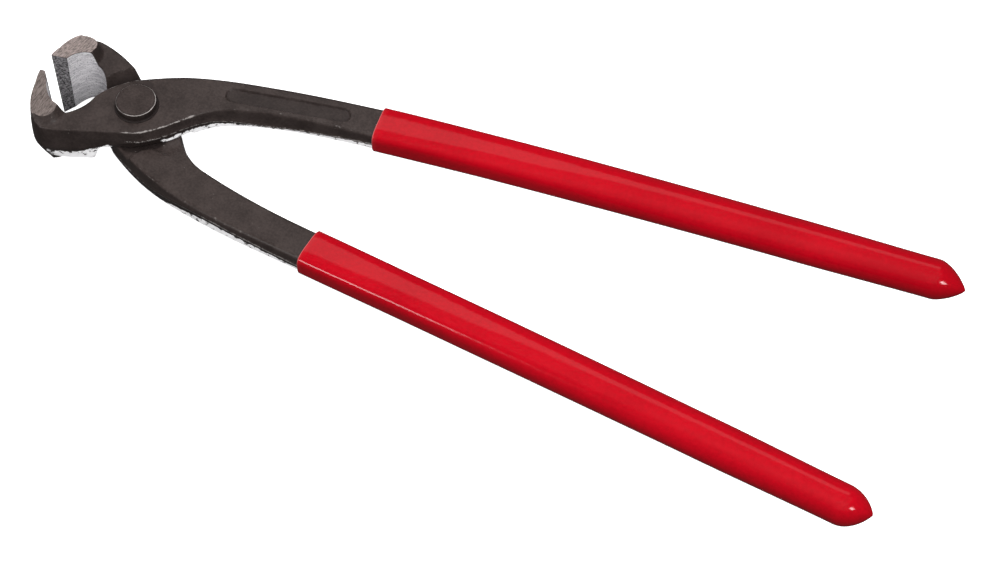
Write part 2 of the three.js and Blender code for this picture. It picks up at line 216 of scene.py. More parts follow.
# Colours
BLACK_DARK = (0.0235, 0.0172, 0.0158)
BLACK_LIGHT = (0.047, 0.0357, 0.033)
# Painted shade: lever seats and the rivet's side.
PAINTED_SHADE_BLACK = (0.008, 0.006, 0.006)
# Bare steel; also the colour of the painted highlights.
BARE_AND_HIGHLIGHT = (0.55, 0.51, 0.49)
# Near white and glow of the trimmed wall: a painted reflection of the white floor.
TRIM_REFLECTION_WHITE = (0.98, 0.97, 0.98)
NO_GLOW = (0.0, 0.0, 0.0)
TRIM_REFLECTION_GLOW = 0.35
FRONT_GROUND = ((0.068, 0.054, 0.049), (0.2, 0.162, 0.15))
# The back jaw's ground side: the same steel painted paler, as painted light.
BACK_GROUND_PAINTED_PALER = ((0.11, 0.09, 0.083), (0.38, 0.312, 0.292))
MOUTH_BRIGHT = ((0.66, 0.64, 0.67), (1.0, 0.98, 1.0))
# Darker copy for the back of the mouth: painted shade.
MOUTH_SHADED = ((0.4, 0.385, 0.42), (1.0, 0.98, 1.0))
MOUTH_PITS = (0.16, 0.15, 0.17)
BEVEL_SPECKLE = ((0.03, 0.028, 0.03), (0.4, 0.385, 0.4))
RED = ((0.335, 0.0006, 0.006), (0.425, 0.001, 0.008))
# Pale pink of the painted highlight at the grip's rim.
RIM_HIGHLIGHT_PINK = (0.62, 0.16, 0.16)

# Wear on the forging, the first mark also carrying a painted highlight line on the seat arc: mark, how far
# it reaches, size of its speckle, strength
FORGED_WEAR_AND_HIGHLIGHT = (("rub_and_arc_highlight", 0.5, 520.0, 0.4), ("edge", 0.3, 420.0, 0.25), ("flash", 0.55, 1400.0, 0.6))

# Studio in metres. Lights: name, place, aim, width, depth, power, seen in glossy surfaces.
FLOOR_HALF = 4.0
FLOOR_LEVEL = -0.001
FLOOR_GREY = (0.75, 0.75, 0.75, 1.0)
FLOOR_GLOW = 0.9
WHITE = (1.0, 1.0, 1.0, 1.0)
SKY_STRENGTH = 0.06
LIGHTS = (
    ("overhead", (0.1, 0.0, 0.95), (0.0, 0.0, 0.0), 1.0, 1.0, 12.0, False),
    ("front", (0.2, -0.6, 0.85), (0.0, 0.0, 0.0), 0.8, 0.8, 5.4, False),
    ("left", (-0.9, 0.1, 0.35), (-0.1, 0.0, 0.0), 0.5, 0.5, 1.6, False),
    ("sheen", (-0.15, 0.62, 0.9), (0.0, 0.0, 0.0), 1.1, 0.35, 0.7, True),
    ("edges", (-0.52, -0.83, 0.52), (-0.1, 0.0, 0.0), 0.25, 0.25, 1.6, True),
    ("glint", (0.7, -0.35, 0.55), (0.0, 0.0, 0.0), 0.2, 0.2, 1.6, True),
)
CAMERA_PLACE = (0.193329, -0.404, 0.64797)
CAMERA_RIGHT = Vector((0.9150, 0.4034, -0.0073))
CAMERA_UP = Vector((-0.3299, 0.7583, 0.5623))
CAMERA_SENSOR = 36.0
CAMERA_LENS = 95.54
CAMERA_NEAR = 0.01


def cubic(a, b, c, d, t):
    """Point at t on the cubic curve from a to d with the pulls b and c."""
    t = np.asarray(t, float)[..., None]
    a, b, c, d = (np.asarray(p, float) for p in (a, b, c, d))
    return (1 - t) ** 3 * a + 3 * (1 - t) ** 2 * t * b + 3 * (1 - t) * t * t * c + t ** 3 * d


def reach(start, leave, arrive, end, t):
    """Cubic from start to end that leaves along one vector and arrives along another."""
    start, end = np.asarray(start, float), np.asarray(end, float)
    return cubic(start, start + np.asarray(leave), end - np.asarray(arrive), end, t)


def circle(radius, first, last, t):
    """Arc round the rivet's axis between two angles."""
    angle = first + (last - first) * np.asarray(t, float)
    return radius * np.stack([np.cos(angle), np.sin(angle)], -1)


def ease(value, low, high):
    """Smooth step from 0 at low to 1 at high."""
    t = np.clip((value - low) / (high - low), 0.0, 1.0)
    return t * t * (3 - 2 * t)


def stretch_by_stretch(station, curves):
    """Joins curves end to end: station 2.5 is the middle of the third curve."""
    which = np.clip(np.floor(station).astype(int), 0, len(curves) - 1)
    within = station - which
    chosen = [(which == k)[..., None] for k in range(len(curves))]
    return np.select(chosen, [curve(within) for curve in curves])


def mouth_edge(shape, station, side):
    """Plan line over the bevel, round the oval mouth, past the boss and along the bar's outside.

    The back jaw's mouth is ground a little askew, so its line at the outer face, side "top", differs
    from the one at the inner face, side "under".
    """
    tip = np.array([-shape.jaw_reach + shape.edge_land / 2, -shape.edge_gap / 2])
    bevel_end, bevel_pull, lowest, lowest_pull = (
        np.asarray(getattr(shape, side + name))
        for name in ("_bevel_end", "_bevel_pull", "_lowest", "_lowest_pull"))
    way = np.asarray(shape.touch_way)
    share = shape.crotch_share

    def outside(t):
        return reach(shape.touch, way * shape.outside_leave, shape.outside_arrive, shape.bar_outside, t)

    return stretch_by_stretch(station, [
        lambda t: tip + (bevel_end - tip) * t[..., None],
        lambda t: reach(bevel_end, bevel_pull, lowest_pull, lowest, t),
        lambda t: reach(lowest, shape.lowest_leave, shape.mouth_back_pull, shape.mouth_back, t),
        lambda t: reach(shape.mouth_back, shape.mouth_leave, way * shape.boss_arrive, shape.touch, t),
        lambda t: outside(t * share),
        lambda t: outside(share + t * (1 - share)),
    ])


def outer_edge(shape, station):
    """Plan line from the cutting edge round heel and neck to the boss, through the crotch, along the bar."""
    tip = np.array([-shape.jaw_reach - shape.edge_land / 2, -shape.edge_gap / 2])
    heel = np.array([-shape.jaw_reach + shape.heel_setback, -shape.jaw_heel])
    neck, crotch = (shape.boss_radius * np.array([math.cos(a), math.sin(a)])
                    for a in (shape.boss_start, shape.boss_end))
    share = shape.bevel_share

    def jaw_back(t):
        return reach(tip, shape.jaw_leave, shape.heel_arrive, heel, t)

    return stretch_by_stretch(station, [
        lambda t: jaw_back(t * share),
        lambda t: jaw_back(share + t * (1 - share)),
        lambda t: reach(heel, shape.heel_leave, shape.neck_arrive, neck, t),
        lambda t: circle(shape.boss_radius, shape.boss_start, shape.boss_end, t),
        lambda t: reach(crotch, shape.crotch_leave, shape.crotch_arrive, shape.crotch_end, t),
        lambda t: reach(shape.crotch_end, shape.inside_leave, shape.inside_arrive, shape.bar_inside, t),
    ])


def handle_line(shape, x):
    """Plan height of the handle's middle at x, on one cubic from the grip's start to its nose."""
    t = np.linspace(0, 1, HANDLE_STEPS)
    line = reach(shape.handle_start, shape.handle_leave, shape.handle_arrive, shape.handle_end, t)
    slope = (line[-1, 1] - line[-2, 1]) / (line[-1, 0] - line[-2, 0])
    inside = np.interp(x, line[:, 0], line[:, 1])
    return inside + slope * np.maximum(0, x - line[-1, 0])


def along_bar(x, shape):
    """Share of the way from the joint to the grip."""
    return np.clip((x - BAR_BEGIN) / (shape.grip_start - BAR_BEGIN), 0, 1)


def hollow(distance, length):
    """Share of a flank's height left at a distance: a straight slope that ends in a tight hollow."""
    slope = 1 - distance / length
    return (slope + np.sqrt(slope ** 2 + FLANK_TOE ** 2)) / (1 + math.sqrt(1 + FLANK_TOE ** 2))


def ground_height(y):
    """The ground side of a jaw: a plane that falls away from the cutting edge."""
    return JAW_HALF - GRIND_SLOPE * np.abs(y)


def jaw_flank(x, y, foot, length):
    """Forged height round a jaw.

    Inside a round-ended outline it rises above the ground plane, so that the grinding cuts it. Outside
    it falls to the foot in a hollow flank.
    """
    beyond = y < FLANK_CENTRE[1]
    off_x = np.where(beyond, x - FLANK_CENTRE[0], np.maximum(x - FLANK_CENTRE[0], 0))
    off_x = np.where(off_x < 0, off_x * FLANK_OUTWARD, off_x)
    off_y = np.minimum(y - FLANK_CENTRE[1], 0)
    distance = np.hypot(off_x, off_y) - FLANK_RADIUS
    level = ground_height(y)
    outside = foot + (level - foot) * hollow(np.maximum(distance, 0), length)
    inside = level + np.minimum(INNER_LIMIT, -INNER_RISE * distance)
    return np.where(distance < 0, inside, outside)


def recess(x, y):
    """Depth of the round-ended recess in the front lever's bar."""
    start, end = np.asarray(RECESS_START), np.asarray(RECESS_END)
    line = end - start
    share = np.clip(((x - start[0]) * line[0] + (y - start[1]) * line[1]) / (line @ line), 0, 1)
    off = np.hypot(x - start[0] - share * line[0], y - start[1] - share * line[1])
    return RECESS_DEPTH * (1 - ease(off, RECESS_HALF - RECESS_EDGE, RECESS_HALF + RECESS_EDGE / 3))


def top_height(shape, x, y):
    """Outer face of the lever: flat over the plate, falling along the bar, rising to the jaw."""
    level = PLATE_TOP + (shape.bar_half - PLATE_TOP) * along_bar(x, shape)
    height = np.where(x < NECK_LINE, jaw_flank(x, y, PLATE_TOP, TOP_FLANK), level)
    if shape is FRONT:
        height = height - recess(x, y)
    return height


def under_height(shape, x, y):
    """Inner face: seated flat round the rivet, a low shoulder to the bar and a high rim to the neck."""
    radius = np.hypot(x, y)
    foot = SHOULDER + (shape.bar_half - SHOULDER) * along_bar(x, shape)
    crotch = np.maximum(radius - CROTCH_SEAT, y - CROTCH_SEAT_SIDE)
    wide = OUTSIDE_SEAT * (1 - ease(x, *OUTSIDE_SEAT_END)) * (y > 0)
    off_bar = 1 - ease(np.minimum(radius - BOSS_SEAT - wide, crotch), -SEAT_EDGE, SEAT_EDGE)
    bar = MATING_FACE * off_bar - foot * (1 - off_bar)
    on_neck = ease(radius, NECK_SEAT, NECK_RIM)
    neck = MATING_FACE * (1 - on_neck) - jaw_flank(x, y, NECK_DEPTH, UNDER_FLANK) * on_neck
    return np.where((x < 0) & (y < NECK_SIDE), neck, bar)


def flash_height(x):
    """Height of the forging's parting line: half way up the plate, at mid height of jaw and handle."""
    return FLASH_AT_BOSS * ease(x, *FLASH_NECK) * (1 - ease(x, *FLASH_BAR))


def lever_rings(shape, station):
    """Rings of the lever between its two plan lines, and the columns that each side of a ring takes.

    Each ring climbs the mouth side wall, crosses the outer face, comes down the other wall and returns
    under the inner face. Walls lean in from the flash line by the draft, or are crowned at the jaw, and
    quarter rounds join them to the faces.
    """
    high, low = mouth_edge(shape, station, "top"), mouth_edge(shape, station, "under")
    mouth, outer = (high + low) / 2, outer_edge(shape, station)
    across = outer - mouth
    width = np.linalg.norm(across, axis=-1)
    across = across / width[:, None]
    middle_x = (mouth[:, 0] + outer[:, 0]) / 2
    flash = flash_height(middle_x)[:, None]
    jaw_share = 1 - ease(station, *JAW_GOES)[:, None]
    ground_mouth = 1 - ease(station, *GRINDING_GOES)[:, None]
    bulge = JAW_CROWN * ease(station, *CROWN_COMES)
    bulge = bulge + (HEEL_CROWN - JAW_CROWN) * ease(station, *HEEL_CROWN_COMES)
    undercut = BOSS_UNDERCUT * ease(station, *UNDERCUT_COMES) * (1 - ease(station, *UNDERCUT_GOES))
    heel_cut = shape.heel_cut * ease(station, *HEEL_CUT_COMES)[:, None] * jaw_share
    rounding = BOSS_ROUND + (EDGE_ROUND - BOSS_ROUND) * ease(middle_x, *ROUND_GROWS)
    rounding = np.minimum(rounding, width / 4)[:, None]

    def inset(z, mouth_side):
        off = np.maximum(0, np.abs(z - flash) - FLASH_HALF)
        proud = FLASH_PROUD * np.exp(-((z - flash) / FLASH_HALF) ** 2)
        plain = DRAFT * off - proud
        if mouth_side:
            return plain * (1 - ground_mouth)
        crown = bulge[:, None] * (z / JAW_HALF) ** 2
        below = undercut[:, None] * np.clip(1 - z / FLASH_AT_BOSS, 0, 1)
        heel = heel_cut * np.maximum(0, -z - HEEL_CUT_BELOW)
        return crown * jaw_share + plain * (1 - jaw_share) + below + heel

    def place(depth, mouth_side, z):
        depth = np.minimum(depth, width[:, None] * LEAST_HALF)
        if mouth_side:
            share = np.clip((z / JAW_HALF + 1) / 2, 0, 1)[..., None]
            line = low[:, None] * (1 - share) + high[:, None] * share
            return line + across[:, None] * depth[..., None]
        return outer[:, None] - across[:, None] * depth[..., None]

    def edge_level(height, mouth_side, sign):
        guess = np.full((len(station), 1), PLATE_TOP) * sign
        for _ in range(2):
            at = place(inset(guess, mouth_side) + rounding, mouth_side, guess)
            guess = height(shape, at[..., 0], at[..., 1])
        return guess

    turn = np.linspace(0, math.pi / 2, CORNER_STEPS + 1)[None]

    def corner(height, mouth_side, sign):
        wall_end = edge_level(height, mouth_side, sign) - sign * rounding
        depth = inset(wall_end, mouth_side) + rounding * (1 - np.cos(turn))
        z = wall_end + sign * rounding * np.sin(turn)
        return np.concatenate([place(depth, mouth_side, z), z[..., None]], -1)

    def wall(start, end, mouth_side):
        share = np.linspace(0, 1, WALL_STEPS + 2)[None, 1:-1]
        z = start + (end - start) * share
        return np.concatenate([place(inset(z, mouth_side), mouth_side, z), z[..., None]], -1)

    def face(start, end, height):
        share = np.linspace(0, 1, FACE_STEPS + 2)[None, 1:-1, None]
        plan = start[:, None, :2] * (1 - share) + end[:, None, :2] * share
        return np.concatenate([plan, height(shape, plan[..., 0], plan[..., 1])[..., None]], -1)

    low_mouth, low_outer = corner(under_height, True, -1), corner(under_height, False, -1)
    high_mouth, high_outer = corner(top_height, True, 1), corner(top_height, False, 1)
    parts = {
        "low_mouth": low_mouth[:, ::-1],
        "mouth_wall": wall(low_mouth[:, :1, 2], high_mouth[:, :1, 2], True),
        "high_mouth": high_mouth,
        "top": face(high_mouth[:, -1], high_outer[:, -1], top_height),
        "high_outer": high_outer[:, ::-1],
        "outer_wall": wall(high_outer[:, :1, 2], low_outer[:, :1, 2], False),
        "low_outer": low_outer,
        "under": face(low_outer[:, -1], low_mouth[:, -1], under_height),
    }
    columns = {}
    count = 0
    for name, part in parts.items():
        columns[name] = slice(count, count + part.shape[1])
        count += part.shape[1]
    return np.concatenate(list(parts.values()), 1), columns


def tang_rings(shape, last_ring):
    """The tang inside the grip: the bar's last ring carried along the handle, drawn in to its end."""
    x = np.linspace(shape.grip_start, TANG_END, TANG_STEPS + 1)[1:]
    scale = 1 - TANG_TAPER * (x - shape.grip_start) / (CAVITY_END - shape.grip_start)
    offset = last_ring - np.array([*shape.handle_start, 0.0])
    rings = offset[None] * scale[:, None, None]
    centre = np.stack([x, handle_line(shape, x), np.zeros_like(x)], -1)
    rings[..., 0] = 0
    return rings + centre[:, None]


def in_world(points, flipped):
    """From the closed lever's frame to metres: turned by the opening, and over for the back lever."""
    c, s = math.cos(OPENING), math.sin(OPENING)
    x = points[..., 0] * c - points[..., 1] * s
    y = points[..., 0] * s + points[..., 1] * c
    z = points[..., 2]
    if flipped:
        y, z = -y, -z
    return (np.stack([x, y, z], -1) + PIVOT) * MM


def grid_faces(rows, columns):
    """Quads between neighbouring rings that are closed round."""
    first = np.arange(rows - 1)[:, None] * columns
    here = np.arange(columns)[None]
    after = (here + 1) % columns
    quads = np.stack([first + here, first + after, first + columns + after, first + columns + here], -1)
    return quads.reshape(-1, 4)


def piece_from(name, rings, materials, face_material=None, point_values=None):
    """Closed mesh object from rings: quads along them and a flat cap at each end."""
    rows, columns = rings.shape[:2]
    quads = grid_faces(rows, columns)
    start_cap = list(range(columns))[::-1]
    end_cap = list(range((rows - 1) * columns, rows * columns))
    mesh = bpy.data.meshes.new(name)
    mesh.from_pydata(rings.reshape(-1, 3).tolist(), [], quads.tolist() + [start_cap, end_cap])
    for material in materials:
        mesh.materials.append(material)
    if face_material is not None:
        indices = np.concatenate([face_material.reshape(-1), [0, 0]]).astype(np.int32)
        mesh.polygons.foreach_set("material_index", indices)
    for key, values in (point_values or {}).items():
        layer = mesh.attributes.new(key, "FLOAT", "POINT")
        layer.data.foreach_set("value", values.reshape(-1).astype(np.float32))
    mesh.polygons.foreach_set("use_smooth", np.ones(len(mesh.polygons), bool))
    mesh.update()
    piece = bpy.data.objects.new(name, mesh)
    bpy.context.scene.collection.objects.link(piece)
    return piece


def finish_mesh(piece, sharp_angle, cuts=(), cut_material=FORGED):
    """Cuts the mesh flat at planes, turns faces outwards and marks sharp edges."""
    mesh = piece.data
    work = bmesh.new()
    work.from_mesh(mesh)
    bmesh.ops.remove_doubles(work, verts=work.verts, dist=WELD)
    for point, normal in cuts:
        whole = list(work.verts) + list(work.edges) + list(work.faces)
        bmesh.ops.bisect_plane(
            work, geom=whole, plane_co=point, plane_no=normal, clear_outer=True, dist=CUT_SNAP)
        rim = [edge for edge in work.edges if edge.is_boundary]
        for flat in bmesh.ops.edgeloop_fill(work, edges=rim)["faces"]:
            flat.material_index = cut_material
            flat.smooth = False
    bmesh.ops.recalc_face_normals(work, faces=work.faces)
    for edge in work.edges:
        kinds = {face.material_index for face in edge.link_faces}
        cut_border = len(kinds) > 1 and cut_material in kinds
        edge.smooth = edge.calc_face_angle(0.0) < sharp_angle and not cut_border
    work.to_mesh(mesh)
    work.free()
    mesh.update()


def lever_masks(shape, points, columns, flipped):
    """Marks that the finish reads, each from 0 to 1 at every point of a lever.

    flash: the parting line. edge: the rounded corners. The trimmed wall below the flash line faces the floor
    and is painted near white, a painted reflection of the floor. Corners are worn bright, and a painted
    highlight line runs along the back lever's seat arc. Painted shade darkens the seats and the recess.
    """
    x, y, z = points[..., 0], points[..., 1], points[..., 2]
    above = (z - flash_height(x)) * (-1 if flipped else 1)
    on_wall = np.zeros(points.shape[1])
    edge = np.zeros(points.shape[1])
    for key in ("mouth_wall", "outer_wall"):
        on_wall[columns[key]] = 1
    for key in ("low_mouth", "high_mouth", "high_outer", "low_outer"):
        on_wall[columns[key]] = 1
        edge[columns[key]] = np.sin(np.linspace(0, math.pi, CORNER_STEPS + 1))
    flash = np.exp(-(above / FLASH_LINE) ** 2) * on_wall * ease(x, *FLASH_FADE)
    off_boss = 1 - ease(x, *TRIM_REFLECTION_BOSS_START) * (1 - ease(x, *TRIM_REFLECTION_BOSS_END))
    # Trimmed wall under the flash line, painted near white as a reflection of the floor.
    lower = above - TRIM_REFLECTION_RISE * ease(x, *FLASH_BAR)
    trim_and_reflection = (1 - ease(lower, *shape.trim_band)) * on_wall * ease(x, *shape.trim_fade) * off_boss
    rub_and_arc_highlight = np.zeros_like(x)
    for key, (low, high) in (("high_outer", RUB_OUTER), ("high_mouth", RUB_MOUTH)):
        part = x[:, columns[key]]
        comes = ease(part, low, low + RUB_FADE)
        rub_and_arc_highlight[:, columns[key]] = edge[columns[key]] * comes * (1 - ease(part, high - RUB_FADE, high))
    under = columns["under"]
    under_x, under_y = x[:, under], y[:, under]
    # Painted shade in the seats and the recess.
    painted_shade = np.zeros_like(x)
    painted_shade[:, under] = ease(z[:, under], *SEAT_DARK) * (under_x < NECK_LINE)
    # Back lever: painted shade inside the seat arc.
    if shape is BACK:
        away = np.hypot(under_x, under_y)
        seat = (1 - ease(away, *SEAT_ARC)) * (under_x > NECK_LINE)
        painted_shade[:, under] = np.maximum(painted_shade[:, under], seat)
        # Painted highlight line along the seat arc, added to the worn corners.
        arc = np.exp(-((away - SEAT_ARC[1]) / ARC_HALF) ** 2)
        arc = arc * ease(under_x, *ARC_COMES) * (1 - ease(under_x, *ARC_GOES))
        rub_and_arc_highlight[:, under] = ARC_STRENGTH * arc * (under_y > 0)
    if shape is FRONT:
        top = columns["top"]
        painted_shade[:, top] = RECESS_SHADE * recess(x[:, top], y[:, top]) / RECESS_DEPTH
    return {"flash": flash, "trim_and_reflection": trim_and_reflection, "edge": np.broadcast_to(edge, x.shape), "painted_shade": painted_shade, "rub_and_arc_highlight": rub_and_arc_highlight}


def make_lever(name, shape, flipped, materials):
    """One lever with its jaw ground flat on both sides, and mouth and bevel ground bare."""
    steps = [np.arange(n) / n + k for k, n in enumerate(STRETCH_STEPS)]
    station = np.concatenate(steps + [[len(STRETCH_STEPS) - 1e-9]])
    rings, columns = lever_rings(shape, station)
    points = np.concatenate([rings, tang_rings(shape, rings[-1])], 0)
    kind = np.full((len(points) - 1, points.shape[1]), FORGED)
    wall = slice(columns["mouth_wall"].start - 1, columns["mouth_wall"].stop)
    face_station = station[:-1, None]
    depth = points[:len(face_station), wall, 2]
    ground_until = MOUTH_END - MOUTH_DRAWN_BACK * ease(np.abs(depth), *MOUTH_DRAWN_HEIGHTS)
    bare = np.where(face_station < 1, BEVEL, np.where(face_station < ground_until, MOUTH, FORGED))
    kind[:len(face_station), wall] = bare
    masks = lever_masks(shape, points, columns, flipped)
    piece = piece_from(name, in_world(points, flipped), materials, kind, masks)
    start = in_world(np.zeros(3), flipped)
    cuts = []
    for side in (1.0, -1.0):
        through = in_world(np.array([0.0, 0.0, JAW_HALF * side]), flipped)
        away = in_world(np.array([0.0, -GRIND_SLOPE, side]), flipped) - start
        cuts.append((Vector(through), Vector(away).normalized()))
    finish_mesh(piece, SHARP_ANGLE, cuts, GROUND)
    return piece


def along(table, x):
    """Smooth value at x through the table's points, by cubics with matched slopes."""
    at, value = np.array(table).T
    slope = np.gradient(value, at)
    k = np.clip(np.searchsorted(at, x) - 1, 0, len(at) - 2)
    gap = at[k + 1] - at[k]
    t = np.clip((x - at[k]) / gap, 0, 1)
    rise = value[k + 1] - value[k]
    bend = (1 - t) * (slope[k] - rise / gap) - t * (slope[k + 1] - rise / gap)
    return value[k] + t * t * (3 - 2 * t) * rise + gap * t * (1 - t) * bend


def grip_rings(shape):
    """Closed sleeve: drooping nose, outer skin, rounded rim, and inner skin back to the cavity's end.

    Every ring is a rounded box |y/a|^n + |z/b|^n = 1, squarer at the bar and round at the end.
    """
    turn = np.linspace(0, 2 * math.pi, TURNS, endpoint=False)[None]
    begin = shape.grip_start - GRIP_LAP
    nose = np.cos(np.linspace(0, math.pi / 2, NOSE_STEPS)[1:])
    nose_x = NOSE_START + NOSE_LENGTH * nose
    skin_x = np.linspace(NOSE_START, begin + GRIP_RIM, SKIN_STEPS)[1:]
    rim_turn = np.linspace(0, math.pi, RIM_STEPS)[1:]
    rim_x = begin + GRIP_RIM * (1 - np.sin(rim_turn))
    inner_x = np.linspace(begin + GRIP_RIM, CAVITY_END, CAVITY_STEPS)[1:]
    x = np.concatenate([nose_x, skin_x, rim_x, inner_x])
    inset = np.concatenate([
        np.zeros(len(nose_x) + len(skin_x)),
        GRIP_RIM * (1 - np.cos(rim_turn)),
        np.full(len(inner_x), 2 * GRIP_RIM),
    ])
    scale = np.ones_like(x)
    scale[:len(nose_x)] = (1 - nose ** shape.nose_power) ** NOSE_FULLNESS
    droop = np.zeros_like(x)
    droop[:len(nose_x)] = NOSE_DROOP * nose ** 2
    on_skin = np.minimum(x, NOSE_START)
    half_width = along(GRIP_HALF_WIDTHS, on_skin) * scale - inset
    half_depth = along(GRIP_HALF_DEPTHS, on_skin) * scale - inset
    power = along(GRIP_SQUARENESS, on_skin)[:, None]
    c, s = np.cos(turn), np.sin(turn)
    round_y = np.sign(c) * np.abs(c) ** (2 / power)
    round_z = np.sign(s) * np.abs(s) ** (2 / power)
    y = (handle_line(shape, x) - droop)[:, None] + half_width[:, None] * round_y
    z = half_depth[:, None] * round_z
    return np.stack([np.broadcast_to(x[:, None], y.shape), y, z], -1)


def make_grip(name, shape, flipped, material):
    """Dipped sleeve on one handle."""
    rings = grip_rings(shape)
    # Painted highlight at the rim.
    rim = 1 - ease(rings[..., 0] - shape.grip_start + GRIP_LAP, *RIM_HIGHLIGHT_SPAN)
    piece = piece_from(name, in_world(rings, flipped), [material], None, {"rim": rim})
    finish_mesh(piece, GRIP_SHARP_ANGLE)
    return piece


def make_rivet(name, material):
    """Turned rivet: shank between two flat heads, each with a chamfer and a collar on the lever.

    Marks: edge is the chamfer's outer line, painted as a highlight; side is everything below it, painted in
    shade.
    """
    top = PLATE_TOP + HEAD_HEIGHT
    collar = PLATE_TOP + COLLAR_HEIGHT
    half = [
        (AXIS_RADIUS, top + HEAD_DOME),
        (HEAD_RADIUS - HEAD_CHAMFER - HEAD_BAND, top),
        (HEAD_RADIUS - HEAD_CHAMFER, top),
        (HEAD_RADIUS - CHAMFER_LEAN, top - HEAD_CHAMFER),
        (HEAD_RADIUS, top - HEAD_CHAMFER - CHAMFER_FOOT),
        (HEAD_RADIUS, collar),
        (COLLAR_RADIUS - COLLAR_BEVEL[0], collar),
        (COLLAR_RADIUS, collar - COLLAR_BEVEL[1]),
        (COLLAR_RADIUS, PLATE_TOP + COLLAR_LIFT),
        (SHANK_RADIUS, PLATE_TOP + COLLAR_LIFT),
    ]
    profile = np.array(half + [(r, -z) for r, z in half[::-1]])
    turn = np.linspace(0, 2 * math.pi, TURNS, endpoint=False)
    x, y = profile[:, :1] * np.cos(turn), profile[:, :1] * np.sin(turn)
    rings = np.stack([x, y, np.repeat(profile[:, 1:], TURNS, 1)], -1)
    edge = np.zeros((len(profile), TURNS))
    edge[[3, -4]] = 1
    side = np.zeros((len(profile), TURNS))
    side[5:-5] = 1
    piece = piece_from(name, (rings + PIVOT) * MM, [material], None, {"edge": edge, "side": side})
    finish_mesh(piece, RIVET_SHARP_ANGLE)
    return piece


def new_material(name, **sockets):
    """Principled material with plain values set on the shader's own sockets."""
    material = bpy.data.materials.new(name)
    material.use_nodes = True
    shader = material.node_tree.nodes["Principled BSDF"]
    for key, value in sockets.items():
        shader.inputs[key.replace("_", " ")].default_value = value
    return material, material.node_tree, shader


def new_group(name, inputs, outputs):
    """Empty shader node group with float inputs and outputs."""
    group = bpy.data.node_groups.new(name, "ShaderNodeTree")
    for key, value in inputs.items():
        socket = group.interface.new_socket(key, in_out="INPUT", socket_type="NodeSocketFloat")
        socket.default_value = value
    for key in outputs:
        group.interface.new_socket(key, in_out="OUTPUT", socket_type="NodeSocketFloat")
    return group, group.nodes.new("NodeGroupInput"), group.nodes.new("NodeGroupOutput")


def feed(tree, socket, value):
    """Links a socket to an input, or sets a plain value on it."""
    if isinstance(value, bpy.types.NodeSocket):
        tree.links.new(value, socket)
    else:
        socket.default_value = value


def combine(tree, operation, first, second):
    """Math node on two sockets or numbers; gives its output socket."""
    node = tree.nodes.new("ShaderNodeMath")
    node.operation = operation
    feed(tree, node.inputs[0], first)
    feed(tree, node.inputs[1], second)
    return node.outputs[0]


def here(tree):
    """Position in the piece's own coordinates, which are the tool's."""
    return tree.nodes.new("ShaderNodeTexCoord").outputs["Object"]


def noise(tree, vector, scale, detail, roughness):
    """Noise texture at a vector; gives its value socket."""
    node = tree.nodes.new("ShaderNodeTexNoise")
    feed(tree, node.inputs["Vector"], vector)
    feed(tree, node.inputs["Scale"], scale)
    feed(tree, node.inputs["Detail"], detail)
    feed(tree, node.inputs["Roughness"], roughness)
    return node.outputs["Fac"]


def spread(tree, value, low, high):
    """Value stretched so that low becomes 0 and high becomes 1, clamped."""
    node = tree.nodes.new("ShaderNodeMapRange")
    node.interpolation_type = "SMOOTHSTEP"
    node.inputs["From Min"].default_value = low
    node.inputs["From Max"].default_value = high
    tree.links.new(value, node.inputs["Value"])
    return node.outputs["Result"]


def weighted(tree, first, first_share, second, second_share):
    """Sum of two sockets, each times its share."""
    first = combine(tree, "MULTIPLY", first, first_share)
    second = combine(tree, "MULTIPLY", second, second_share)
    return combine(tree, "ADD", first, second)


def make_grain_group():
    """Scale grain of a forging: fine speckle over soft blotches, and a height for the bump."""
    group, given, out = new_group("forging_grain", {"Fine": 1400.0, "Blotch": 160.0}, ("Tone", "Height"))
    place = here(group)
    fine = noise(group, place, given.outputs["Fine"], 3.0, 0.6)
    blotch = noise(group, place, given.outputs["Blotch"], 4.0, 0.5)
    tone = weighted(group, fine, 0.55, blotch, 0.45)
    group.links.new(spread(group, tone, 0.32, 0.68), out.inputs["Tone"])
    group.links.new(fine, out.inputs["Height"])
    return group


def make_wear_and_light_group():
    """Bare metal showing through where a mask is strong, speckled at its limits; also lays painted
    highlights and a painted reflection.
    """
    inputs = {"Mask": 0.0, "Amount": 0.5, "Scale": 900.0}
    group, given, out = new_group("worn_through_and_painted_light", inputs, ("Bare",))
    speckle = noise(group, here(group), given.outputs["Scale"], 4.0, 0.65)
    reached = combine(group, "MULTIPLY", given.outputs["Mask"], given.outputs["Amount"])
    level = combine(group, "ADD", reached, speckle)
    group.links.new(spread(group, level, 0.86, 1.02), out.inputs["Bare"])
    return group


def make_lines_group():
    """Grinding lines: noise drawn out along one direction of the tool's frame."""
    inputs = {"Turn": 0.0, "Along": 60.0, "Across": 2600.0, "Rise": 2600.0}
    group, given, out = new_group("grinding_lines", inputs, ("Lines",))
    turn = group.nodes.new("ShaderNodeVectorRotate")
    turn.rotation_type = "Z_AXIS"
    group.links.new(here(group), turn.inputs["Vector"])
    group.links.new(given.outputs["Turn"], turn.inputs["Angle"])
    size = group.nodes.new("ShaderNodeCombineXYZ")
    for axis, key in zip("XYZ", ("Along", "Across", "Rise")):
        group.links.new(given.outputs[key], size.inputs[axis])
    scaled = group.nodes.new("ShaderNodeVectorMath")
    scaled.operation = "MULTIPLY"
    group.links.new(turn.outputs[0], scaled.inputs[0])
    group.links.new(size.outputs[0], scaled.inputs[1])
    group.links.new(noise(group, scaled.outputs[0], 1.0, 3.0, 0.6), out.inputs["Lines"])
    return group


GRAIN, WEAR_AND_PAINTED_LIGHT, LINES = make_grain_group(), make_wear_and_light_group(), make_lines_group()


